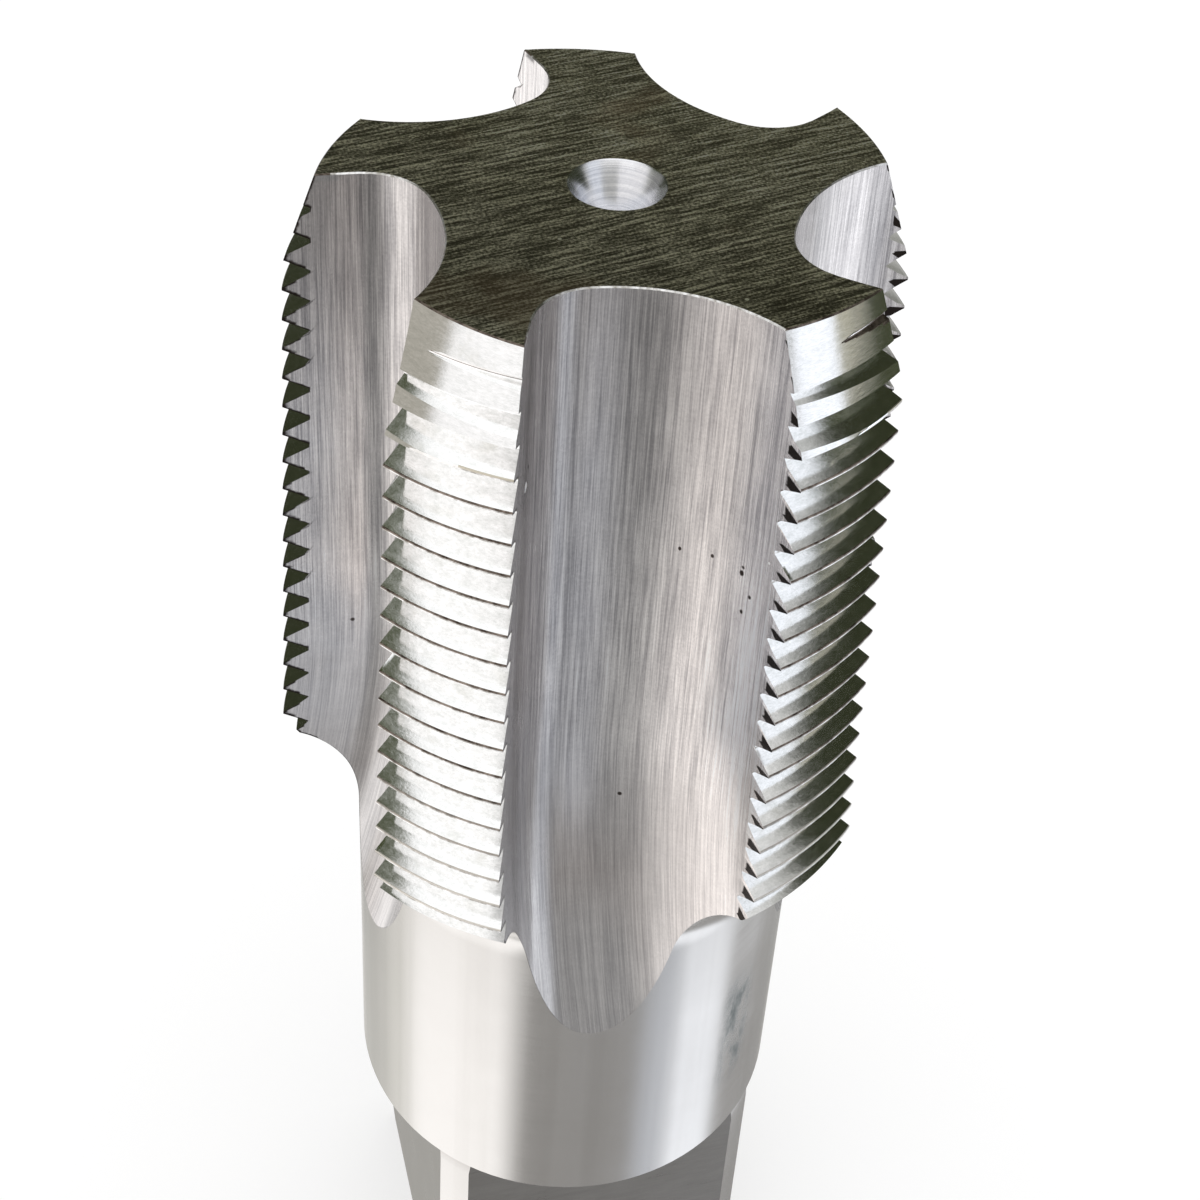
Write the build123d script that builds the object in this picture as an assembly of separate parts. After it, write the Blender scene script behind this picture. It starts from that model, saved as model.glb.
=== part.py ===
from build123d import *
import os
from math import asin, atan, ceil, cos, degrees, radians, sin, sqrt, tan

# A taper pipe tap, cut from one bar of steel. The axis is Z, the drive square
# stands on Z = 0 and the cutting end is on top. One flat of the square faces +X.

# Lengths along the axis, in millimetres
overall_length = 105.0
square_length = 24.5
thread_length = 45.7

# Shank and drive square
shank_diameter = 33.4
square_across_flats = 25.4
shank_end_chamfer = 0.8
shoulder_radius = 7.0
rear_bevel = 1.15

# Thread: 55 degree form, 11 to the inch, on a taper of 1 in 16 on diameter
thread_pitch = 25.4 / 11
thread_small_diameter = 41.4
thread_depth = 1.64
thread_flank_angle = 27.5
thread_crest_width = 0.30
thread_taper = 1 / 16
thread_start_angle = 199.0

# Flutes: a hooked rake face, a tight corner and a wide round bottom
flute_count = 5
first_edge_angle = 22.8
rake_angle = 9.0
flute_corner_radius = 4.2
flute_bottom_radius = 12.2
flute_bottom_angle = 17.9
core_diameter = 23.2
flute_full_length = 38.0
wheel_radius = 52.0
wheel_angle = 38.2

# Chamfered nose, backed off behind each cutting edge
nose_diameter = 37.4
chamfer_angle = 18.4
nose_relief = 0.75
land_angle = 22.4

# Centre holes in both ends
centre_diameter = 6.2
centre_angle = 60.0
pilot_diameter = 2.5
pilot_depth = 2.5

# Worked out from the sizes above
top = overall_length
shank_radius = shank_diameter / 2
small_radius = thread_small_diameter / 2
nose_radius = nose_diameter / 2
thread_end = top - thread_length
rear_radius = small_radius + thread_taper / 2 * thread_length
flute_pitch_angle = 360 / flute_count
outside = 2 * rear_radius
clear_radius = 1.25 * rear_radius


def polar(radius, angle):
    """A point in the XY plane, from a radius and an angle in degrees."""
    return Vector(radius * cos(radians(angle)), radius * sin(radians(angle)))


def turned_blank():
    """Shank, rounded shoulder and tapered head, turned about the axis."""
    neck_radius = rear_radius - rear_bevel
    arc_top = thread_end - 1.35 * rear_bevel
    centre_radius = shank_radius + shoulder_radius
    lean = asin((centre_radius - neck_radius) / shoulder_radius)
    arc_foot = arc_top - shoulder_radius * cos(lean)
    middle = (lean + radians(90)) / 2
    arc_middle = (centre_radius - shoulder_radius * sin(middle), arc_foot + shoulder_radius * cos(middle))
    outline = [
        Polyline(
            (0, 0),
            (shank_radius - shank_end_chamfer, 0),
            (shank_radius, shank_end_chamfer),
            (shank_radius, arc_foot),
        ),
        ThreePointArc((shank_radius, arc_foot), arc_middle, (neck_radius, arc_top)),
        Polyline((neck_radius, arc_top), (rear_radius, thread_end), (small_radius, top), (0, top), (0, 0)),
    ]
    return revolve(Plane.XZ * make_face(outline), Axis.Z)


def square_cutter():
    """What is milled off the end of the shank to leave the drive square."""
    upright = (Align.CENTER, Align.CENTER, Align.MIN)
    bar = Cylinder(outside, square_length, align=upright)
    return bar - Box(square_across_flats, square_across_flats, square_length, align=upright)


def flute_outline():
    """Cross-section of one flute whose cutting edge lies on +X at the nose."""
    edge = Vector(nose_radius, 0)
    along = polar(1, rake_angle)
    across = polar(1, rake_angle + 90)
    bottom_centre = polar(core_diameter / 2 + flute_bottom_radius, flute_bottom_angle)
    reach = edge + across * flute_corner_radius - bottom_centre
    lead = reach.dot(along)
    gap = flute_bottom_radius - flute_corner_radius
    slide = -lead - sqrt(lead**2 - reach.dot(reach) + gap**2)
    corner_centre = edge + across * flute_corner_radius + along * slide
    rake_foot = corner_centre - across * flute_corner_radius
    inward = (corner_centre - bottom_centre).normalized()
    corner_end = bottom_centre + inward * flute_bottom_radius
    corner_middle = corner_centre + (inward - across).normalized() * flute_corner_radius
    heel = bottom_centre + Vector(0, flute_bottom_radius)
    bottom_middle = bottom_centre + (inward + Vector(0, 1)).normalized() * flute_bottom_radius
    rake_end = edge + along * (clear_radius - nose_radius) / cos(radians(rake_angle))
    return [
        Line(rake_end, rake_foot),
        ThreePointArc(rake_foot, corner_middle, corner_end),
        ThreePointArc(corner_end, bottom_middle, heel),
        Polyline(heel, (clear_radius, heel.Y), rake_end),
    ]


def flute_cutter():
    """One flute: straight from the nose, then run out by the round wheel."""
    section = make_face(flute_outline())
    rise = top - flute_full_length
    straight = extrude(Pos(0, 0, rise) * section, flute_full_length + thread_pitch, dir=(0, 0, 1))
    toward = polar(1, wheel_angle)
    bottom_centre = polar(core_diameter / 2 + flute_bottom_radius, flute_bottom_angle)
    axle_reach = bottom_centre.dot(toward) - flute_bottom_radius + wheel_radius
    axle_point = toward * axle_reach + Vector(0, 0, rise)
    axle = Axis(axle_point, polar(1, wheel_angle - 90))
    return straight + revolve(Pos(0, 0, rise) * section, axle, 45)


def nose_cutter():
    """Chamfer of one land, on a cone set off centre so that the heel is lower."""
    half_land = land_angle / 2
    middle = -half_land
    offset = nose_relief / (2 * sin(radians(half_land)))
    centre = polar(offset, middle + 90)
    cone_radius = (polar(nose_radius, 0) - centre).length
    height = (rear_radius - nose_radius + nose_relief) / tan(radians(chamfer_angle)) + thread_pitch
    spread = height * tan(radians(chamfer_angle))
    upright = (Align.CENTER, Align.CENTER, Align.MAX)
    cone = Cone(cone_radius + spread, cone_radius, height, align=upright)
    ends = [polar(outside, middle + turn * flute_pitch_angle / 2) for turn in (-1, 1)]
    wedge = extrude(make_face(Polyline((0, 0), ends[0], ends[1], (0, 0))), height, dir=(0, 0, -1))
    return Pos(0, 0, top) * (wedge - Pos(centre.X, centre.Y, 0) * cone)


def groove_turn(start_depth, seam_angle):
    """One turn of the thread groove, rising from a depth below the nose."""
    slope = tan(radians(thread_flank_angle))
    over = 0.25 * thread_crest_width / slope
    floor_half = (thread_pitch - thread_crest_width) / 2 - thread_depth * slope
    mouth_half = floor_half + (thread_depth + over) * slope
    floor_radius = small_radius - thread_depth + thread_taper / 2 * start_depth
    mouth_radius = floor_radius + thread_depth + over
    section = Polyline(
        (floor_radius, -floor_half),
        (mouth_radius, -mouth_half),
        (mouth_radius, mouth_half),
        (floor_radius, floor_half),
        (floor_radius, -floor_half),
    )
    lean = degrees(atan(thread_taper / 2))
    path = Helix(thread_pitch, thread_pitch, floor_radius, cone_angle=-lean)
    turn = sweep(Plane.XZ * make_face(section), path, is_frenet=True)
    return Pos(0, 0, top - start_depth) * Rot(0, 0, seam_angle) * turn


def thread_grooves():
    """The groove turn by turn, with every seam in the open space of a flute."""
    seam_angle = first_edge_angle + flute_pitch_angle / 3
    first_depth = thread_pitch * ((thread_start_angle - seam_angle) / 360 % 1)
    count = ceil((thread_length - first_depth) / thread_pitch + 1.5)
    return [groove_turn(first_depth + turn * thread_pitch, seam_angle) for turn in range(count)]


def centre_hole():
    """A cone with a pilot below it, opening upwards at the origin."""
    pilot_radius = pilot_diameter / 2
    cone_depth = (centre_diameter / 2 - pilot_radius) / tan(radians(centre_angle / 2))
    outline = Polyline(
        (0, 0),
        (centre_diameter / 2, 0),
        (pilot_radius, -cone_depth),
        (pilot_radius, -cone_depth - pilot_depth),
        (0, -cone_depth - pilot_depth - pilot_radius * tan(radians(30))),
        (0, 0),
    )
    return revolve(Plane.XZ * make_face(outline), Axis.Z)


def pipe_tap():
    """The whole tap, in the order in which it would be machined."""
    flute = flute_cutter()
    nose = nose_cutter()
    edges = [Rot(0, 0, first_edge_angle + land * flute_pitch_angle) for land in range(flute_count)]
    tap = turned_blank() - square_cutter()
    tap = tap - Pos(0, 0, top) * centre_hole() - Rot(180, 0, 0) * centre_hole()
    tap = tap - [edge * flute for edge in edges]
    tap = tap - [edge * nose for edge in edges]
    return tap - thread_grooves()


tap = pipe_tap()
tap.label = "tap"
tap.color = Color(0.62, 0.62, 0.60)
os.makedirs("parts", exist_ok=True)
export_step(tap, "parts/tap.step")
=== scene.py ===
import bpy
import numpy as np
from functools import reduce
from math import acos, degrees, radians, sin, sqrt, tan
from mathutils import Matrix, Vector
from mathutils.geometry import tessellate_polygon
from numpy.linalg import norm


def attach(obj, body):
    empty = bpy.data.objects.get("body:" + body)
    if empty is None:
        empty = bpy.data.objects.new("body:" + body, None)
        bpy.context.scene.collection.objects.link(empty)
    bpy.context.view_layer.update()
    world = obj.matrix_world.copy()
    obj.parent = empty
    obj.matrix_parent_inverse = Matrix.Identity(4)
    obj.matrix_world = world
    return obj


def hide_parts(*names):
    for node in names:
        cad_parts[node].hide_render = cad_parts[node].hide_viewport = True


# The look of the pipe tap. The mesh code works in the part's own millimetres,
# with depth measured down the axis from the cutting end; Blender gets metres.
MM = 0.001

# Sizes of the tap, as in the part's source but for a slightly sharper thread and longer run-outs,
# and a radius a hair smaller, which keeps the look inside the part's box
overall_length = 105.0
square_length = 24.5
thread_length = 45.7
shank_radius = 16.7
square_half_width = 12.7
shank_end_chamfer = 0.8
shoulder_radius = 7.0
rear_bevel = 1.15
rear_bevel_length = 1.35 * rear_bevel
pitch = 25.4 / 11
small_radius = 20.7 - 0.015
thread_depth = 1.75
flank_slope = tan(radians(27.5))
crest_width = 0.20
taper = 1 / 32
thread_start_angle = 199.0
thread_relief = 0.2
flute_count = 5
first_edge_angle = 22.8
rake_angle = 9.0
corner_radius = 4.2
bottom_radius = 12.2
bottom_angle = 17.9
core_radius = 11.6
flute_full_length = 35.5
wheel_radius = 66.0
wheel_angle = 38.2
nose_radius = 18.7
chamfer_slope = tan(radians(18.4))
nose_relief = 0.75
land_angle = 22.4
centre_radius = 3.1
pilot_radius = 1.25
pilot_depth = 2.5
# Small broken edges that only the look needs
edge_break = 0.09
crest_shade = 0.03
burr_width = 0.10
# Worked out from the sizes above
rear_radius = small_radius + taper * thread_length
neck_radius = rear_radius - rear_bevel
shoulder_foot = thread_length + rear_bevel_length
fillet_reach = shank_radius + shoulder_radius - neck_radius
fillet_foot = shoulder_foot + sqrt(shoulder_radius**2 - fillet_reach**2)
square_depth = overall_length - square_length
step_angle = 360 / flute_count
# Depths at which one kind of row gives way to the next
fine_rows_end = 4.0
thread_rows_end = 48.0
shoulder_rows_end = 54.0
ring_depth = 64.0
joint_depth = ring_depth + 1.5
# Extra rows either side of the groove's middle near the nose, where it narrows to nothing
fine_rows = np.array([0.04, 0.08, 0.16, 0.21, 0.26])
# Painted shade on the floor of the first groove: where it ends, and its half width, which is another on
# the land to the right as the camera sees it
first_groove_end = 2.6
shaded_groove_half_width = 0.045
shaded_groove_half_width_right = 0.60
right_land_angle = 250.0
# Crests get painted shade, with a bright burr below it, where the chamfer clears them by this much
crest_margin = 0.08
# Columns over a land, steps along a flat, a corner and the arc above a flat, and points round a hole
land_columns = 37
flat_steps, corner_steps, arc_steps = 8, 6, 24
hole_points = 96
# Edges sharper than this angle stay crisp, points in one cell of this size become one,
# and depths and radii count as equal when they are this close
crease_angle = 32.0
weld = 2e-4
tolerance = 0.01
tiny = 1e-6

# Kinds of surface, in the order of finishes(); the last is painted shade, on the crests, the lands'
# rims and the first groove's floor
END_FACE, CENTRE_HOLE, THREAD, FLUTE, SHANK, SQUARE, BURR, PAINTED_SHADE = range(8)

# Angle on the end face along which it was ground
brush_angle = 12.5
# Where the smudge on the shank lies
smudge_angle = -55.0
smudge_height = 37.0
# Number of the flute on the left as the camera sees it, whose rake face and corner get painted light of
# their own: darker near the nose and lighter towards the shank
left_flute = 2.0
# Pits and bright chips: where they lie (distance along the outline, depth and flute), their size
# and whether they are bright
flaws = [
    ((25.2, 18.8, 3.0), 0.16, False),
    ((23.0, 18.6, 3.0), 0.11, False),
    ((20.8, 18.9, 3.0), 0.11, False),
    ((26.0, 20.3, 3.0), 0.11, False),
    ((25.5, 21.8, 3.0), 0.12, False),
    ((9.7, 11.0, 3.0), 0.11, False),
    ((9.2, 12.2, 3.0), 0.46, True),
    ((4.9, 9.2, 2.0), 0.40, True),
    ((27.2, 16.7, 3.0), 0.13, True),
]
# Studio: angles in degrees, with 0 on the camera's side and 90 on its right
camera_side = -107.5
# The side towards which painted reflection makes the end face lighter
painted_sheen_side = camera_side + 160
floor_size = 3.0
floor_colour = 0.52
floor_lift = 0.53
ceiling_level = 1.14
# The ceiling light's edges, from dark to bright, towards the camera and to the right,
# as distances for each unit of height
ceiling_edges = (((-0.29, -0.23), (0.85, 0.70)), ((-0.68, -0.60), (0.80, 0.36)))
# Tints of the cards
OLIVE = (1.0, 1.0, 0.66)
MOSS = (0.88, 1.0, 0.52)
GREY = (1.0, 0.99, 0.94)
DUST = (1.0, 0.98, 0.96)
ICE = (0.96, 0.99, 1.06)
WARM = (1.05, 0.99, 0.95)
PLAIN = (1.0, 1.0, 1.0)
WHITE = (1.0, 0.985, 0.98)
PINK = (1.02, 0.98, 0.96)
BLUE = (0.94, 0.97, 1.03)
BEIGE = (1.05, 1.0, 0.80)
SAND = (1.05, 0.99, 0.86)
STEEL = (0.94, 0.98, 1.07)
# Cards: sides, heights, level, tint and softness each way
cards = [
    ((-180, 180), (-10, 90), 0.50, GREY, 1, 5),
    ((-85, 0), (18, 55), 0.95, WHITE, 5, 5),
    ((48, 86), (18, 55), 0.85, BLUE, 5, 5),
    ((-122, -95), (2, 30), 0.24, GREY, 5, 5),
    ((95, 238), (2, 64), 0.035, MOSS, 2.5, 2.5),
    ((150, 210), (16, 62), 0.13, OLIVE, 6, 6),
    ((-125, -85), (30, 62), 0.08, MOSS, 2.5, 2.5),
    ((-22, 58), (-8, 14), 0.40, PLAIN, 4, 3),
    ((-180, 180), (-49, -5), 0.41, PLAIN, 1, 4),
    ((6, 60), (-49, -35), 0.39, ICE, 6, 2),
    ((8, 28), (-40, -33), 0.80, ICE, 5, 3),
    ((-30, 60), (-34, -24), 0.35, WARM, 4, 3),
    ((-20, 8), (-40, -31), 0.27, PLAIN, 8, 4),
    ((-115, -30), (-49, -16), 1.10, PINK, 20, 4),
    ((-145, -112), (-36, -18), 1.45, WHITE, 8, 4),
    ((54, 78), (-49, -18), 0.66, STEEL, 14, 4),
    ((-90, -65), (-15, 15), 0.39, SAND, 2.5, 3),
    ((-65, -28), (-10, 16), 1.04, WHITE, 2.5, 4),
    ((-65, -27), (-27, -10), 1.25, WHITE, 4, 3),
    ((58, 77), (-26, 10), 1.15, BLUE, 3, 4),
    ((76, 85), (-9, 8), 0.46, BEIGE, 2, 2),
    ((85, 92), (-9, 8), 0.36, BEIGE, 2, 2),
    ((78, 112), (-23, -9), 0.07, MOSS, 3, 2.5),
    ((92, 112), (-12, 12), 0.05, MOSS, 3, 3),
    ((80, 122), (-49, -25.5), 1.15, BLUE, 5, 3),
    ((76, 104), (-36, -25.5), 1.60, BLUE, 4, 3),
    ((-180, 180), (-90, -49), 0.345, DUST, 1, 3),
    ((-200, -122), (-80, -49), 0.62, GREY, 10, 3),
    ((-122, -60), (-80, -49), 0.82, GREY, 14, 3),
    ((-94, -26), (-80, -49), 1.32, WHITE, 11, 3),
    ((46, 80), (-80, -49), 0.66, STEEL, 8, 3),
    ((65, 99), (-80, -49), 1.27, BLUE, 6, 3),
    ((170, 200), (-80, 0), 1.10, WHITE, 9, 9),
]


def turn(angle):
    """Unit vectors in XY for angles in degrees."""
    a = np.radians(angle)
    return np.stack([np.cos(a), np.sin(a)], -1)


class FluteOutline:
    """The flute's cross-section, with the cutting edge on +X, from the rake line to the heel."""

    def __init__(self):
        self.along = turn(rake_angle)
        across = turn(rake_angle + 90)
        edge = np.array([nose_radius, 0.0])
        self.bottom = turn(bottom_angle) * (core_radius + bottom_radius)
        reach = edge + across * corner_radius - self.bottom
        lead = reach @ self.along
        gap = bottom_radius - corner_radius
        slide = -lead - sqrt(lead**2 - reach @ reach + gap**2)
        self.corner = edge + across * corner_radius + self.along * slide
        self.foot = self.corner - across * corner_radius
        inward = (self.corner - self.bottom) / norm(self.corner - self.bottom)
        self.corner_start = degrees(np.arctan2(*(-across)[::-1]))
        self.bottom_start = degrees(np.arctan2(*inward[::-1]))
        corner_sweep = (self.bottom_start - self.corner_start) % -360
        self.rake_length = 9.0
        self.corner_length = radians(abs(corner_sweep)) * corner_radius
        bottom_length = radians(150) * bottom_radius
        self.length = self.rake_length + self.corner_length + bottom_length
        self.toward = turn(wheel_angle)
        self.axle = self.bottom @ self.toward - bottom_radius + wheel_radius

    def at(self, s):
        """Points of the straight flute at distances s along the outline."""
        s = np.asarray(s, float)[..., None]
        rake = self.foot + self.along * (self.rake_length - s)
        turned = self.corner_start - np.degrees((s - self.rake_length) / corner_radius)
        corner = self.corner + turn(turned[..., 0]) * corner_radius
        beyond = s - self.rake_length - self.corner_length
        turned = self.bottom_start - np.degrees(beyond / bottom_radius)
        bottom = self.bottom + turn(turned[..., 0]) * bottom_radius
        return np.where(s < self.rake_length, rake, np.where(beyond < 0, corner, bottom))

    def cut(self, s, depth):
        """Points of the flute at a depth, moved outwards where the wheel runs out."""
        p = self.at(s)
        reach = self.axle - p @ self.toward
        below = np.maximum(depth - flute_full_length, 0)
        moved = reach - np.sqrt(np.maximum(reach**2 - below**2, 0))
        return p + moved[..., None] * self.toward


outline = FluteOutline()


def groove_height(angle, depth):
    """Height of the thread above its groove floor, with rounded crests and roots."""
    phase = depth / pitch + (angle - thread_start_angle) / 360
    offset = np.abs(phase - np.round(phase)) * pitch
    floor_half = (pitch - crest_width) / 2 - thread_depth * flank_slope
    height = (offset - floor_half) / flank_slope
    soft = 0.015
    low = 0.5 * (height + np.sqrt(height**2 + soft**2))
    return thread_depth - 0.5 * ((thread_depth - low) + np.sqrt((thread_depth - low) ** 2 + soft**2))


def chamfer_radius(angle_in_land, depth):
    """Radius of the nose chamfer, which is lower behind the cutting edge."""
    half_land = land_angle / 2
    offset = nose_relief / (2 * sin(radians(half_land)))
    centre = turn(90 - half_land) * offset
    base = norm(np.array([nose_radius, 0]) - centre)
    across = turn(angle_in_land) @ centre
    cone = base + depth * chamfer_slope
    return across + np.sqrt(np.maximum(cone**2 - offset**2 + across**2, 0))


def blank_radius(angle_in_land, depth):
    """Radius of the turned and chamfered body before the thread is cut."""
    tapered = small_radius + taper * depth
    bevel = rear_radius - (depth - thread_length) * rear_bevel / rear_bevel_length
    reach = np.clip(fillet_foot - depth, 0, shoulder_radius)
    fillet = shank_radius + shoulder_radius - np.sqrt(shoulder_radius**2 - reach**2)
    turned = np.where(depth < thread_length, tapered, np.where(depth < shoulder_foot, bevel, fillet))
    turned = np.where(depth > fillet_foot, shank_radius, turned)
    return np.minimum(turned, chamfer_radius(angle_in_land, depth))


def thread_radius(angle, angle_in_land, depth):
    """Radius of the thread, backed off a little behind the cutting edge."""
    backed_off = thread_relief * np.clip(-angle_in_land / land_angle, 0, 1)
    return small_radius + taper * depth - backed_off - thread_depth + groove_height(angle, depth)


def body_radius(angle, angle_in_land, depth):
    """Radius of the finished land."""
    return np.minimum(blank_radius(angle_in_land, depth), thread_radius(angle, angle_in_land, depth))


class Rows:
    """Lines round the body: helical ones along the thread, then level ones below it."""

    def __init__(self, low_angle, high_angle, level_depths):
        crest_edge = (pitch - crest_width) / 2
        floor_edge = crest_edge - thread_depth * flank_slope
        flank = np.linspace(floor_edge, crest_edge, 6)
        upper = np.concatenate([[0], flank[:-1], [crest_edge - crest_shade, crest_edge]]) / pitch
        below = [crest_edge - crest_shade, crest_edge, crest_edge + burr_width]
        lower = np.concatenate([flank[:-1], below]) / pitch
        shares = np.unique(np.round(np.concatenate([upper, 1 - lower]), 6))
        first = np.floor((low_angle - thread_start_angle) / 360) - 1
        last = np.ceil(thread_rows_end / pitch + (high_angle - thread_start_angle) / 360) + 1
        narrow = np.concatenate([-fine_rows[::-1], fine_rows]) / pitch
        kinds = []
        for share, end in ((shares, thread_rows_end), (narrow, fine_rows_end)):
            phases = (np.arange(first, last)[:, None] + share).ravel()
            starts = pitch * (phases + thread_start_angle / 360)
            low = starts - pitch * low_angle / 360
            high = starts - pitch * high_angle / 360
            kinds.append(starts[(low > edge_break) & (high < end)])
        starts = np.sort(np.concatenate(kinds))
        starts = np.concatenate([[starts[0] - pitch], starts, [starts[-1] + pitch]])
        helical = len(starts)
        self.start = np.concatenate([starts, level_depths])
        self.fall = np.where(np.arange(len(self.start)) < helical, pitch / 360, 0)
        self.low = np.where(self.fall > 0, edge_break, 0)
        self.high = np.where(self.fall > 0, thread_rows_end, overall_length)

    def depth(self, angle):
        """Depth of each row at an angle; angle has the rows as its first axis."""
        shape = (-1,) + (1,) * (np.ndim(angle) - 1)
        depth = self.start.reshape(shape) - self.fall.reshape(shape) * angle
        return np.clip(depth, self.low.reshape(shape), self.high.reshape(shape))


def in_land(angle):
    """Angle from the cutting edge in front, for angles measured from a flute's own edge."""
    return np.where(angle > step_angle / 3, angle - step_angle, angle)


def flute_sides(edge_angle, depth_at, count):
    """Where a flute's two sides meet the lands on each row: its angle and depth at each side."""
    samples = np.linspace(0, outline.length, 420)

    def excess(s):
        depth = depth_at(np.full(np.shape(s), edge_angle + bottom_angle))
        for _ in range(3):
            p = outline.cut(s, depth)
            angle = np.degrees(np.arctan2(p[..., 1], p[..., 0]))
            depth = depth_at(edge_angle + angle)
        radius = body_radius(edge_angle + angle, in_land(angle), depth)
        return norm(p, axis=-1) - radius, angle, depth

    over = excess(np.broadcast_to(samples, (count, len(samples))))[0]
    lowest = np.argmin(over, axis=1)
    found = []
    for side in (-1, 1):
        inside = samples[lowest]
        outside = inside.copy()
        for row, low in enumerate(lowest):
            clear = np.nonzero(over[row] > 0)[0]
            clear = clear[clear < low] if side < 0 else clear[clear >= low]
            if over[row, low] < 0:
                nearest = clear[-1] if side < 0 else clear[0]
                outside[row], inside[row] = samples[nearest], samples[nearest - side]
        for _ in range(30):
            middle = (inside + outside) / 2
            out = excess(middle[:, None])[0][:, 0] > 0
            outside = np.where(out, middle, outside)
            inside = np.where(out, inside, middle)
        _, angle, depth = excess(inside[:, None])
        shut = depth[:, 0] >= closing_depth - tiny
        found.append(np.where(shut, closing_angle, angle[:, 0]))
    return found


def closing_point():
    """Depth and angle of the point where a flute runs out on the shank."""
    samples = np.linspace(0, outline.length, 4000)
    low, high = flute_full_length, ring_depth
    for _ in range(40):
        depth = (low + high) / 2
        points = outline.cut(samples, depth)
        radii = norm(points, axis=1)
        low, high = (depth, high) if radii.min() < shank_radius else (low, depth)
    x, y = points[np.argmin(radii)]
    return depth, degrees(np.arctan2(y, x))


closing_depth, closing_angle = closing_point()


def crease_values(angle, angle_in_land, depth):
    """Values that change sign where two surfaces of a land meet."""
    blank = blank_radius(angle_in_land, depth)
    thread = thread_radius(angle, angle_in_land, depth)
    # Inside the groove the other creases don't show, so their values are kept well above zero
    aside = 9.0 * (thread < blank)
    return [
        thread - blank,
        chamfer_radius(angle_in_land, depth) - small_radius - taper * depth + aside,
        thread_length - depth + aside,
        shoulder_foot - depth + aside,
    ]


def snapped(angle, angle_in_land, depth):
    """Depths moved to the nearest crease where one passes close to a row, and marks that say which."""
    marks = np.zeros(depth.shape, int)
    depth = depth.copy()
    for crease in range(4):
        value = crease_values(angle, angle_in_land, depth)[crease]
        rows, columns = np.nonzero((value[:-1] * value[1:] < 0) & (depth[1:] - depth[:-1] > tiny))
        low, high = depth[rows, columns], depth[rows + 1, columns]
        low_angle, high_angle = angle[rows, columns], angle_in_land[rows, columns]
        sign = np.sign(value[rows, columns])
        a, b = low.copy(), high.copy()
        for _ in range(25):
            middle = (a + b) / 2
            same = np.sign(crease_values(low_angle, high_angle, middle)[crease]) == sign
            a = np.where(same, middle, a)
            b = np.where(same, b, middle)
        nearer = np.where(a - low < high - a, rows, rows + 1)
        free = (marks[nearer, columns] == 0) & (low > edge_break + tiny)
        free &= high < thread_rows_end - tiny
        depth[nearer[free], columns[free]] = a[free]
        marks[nearer[free], columns[free]] = crease + 1
    return depth, marks


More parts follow.
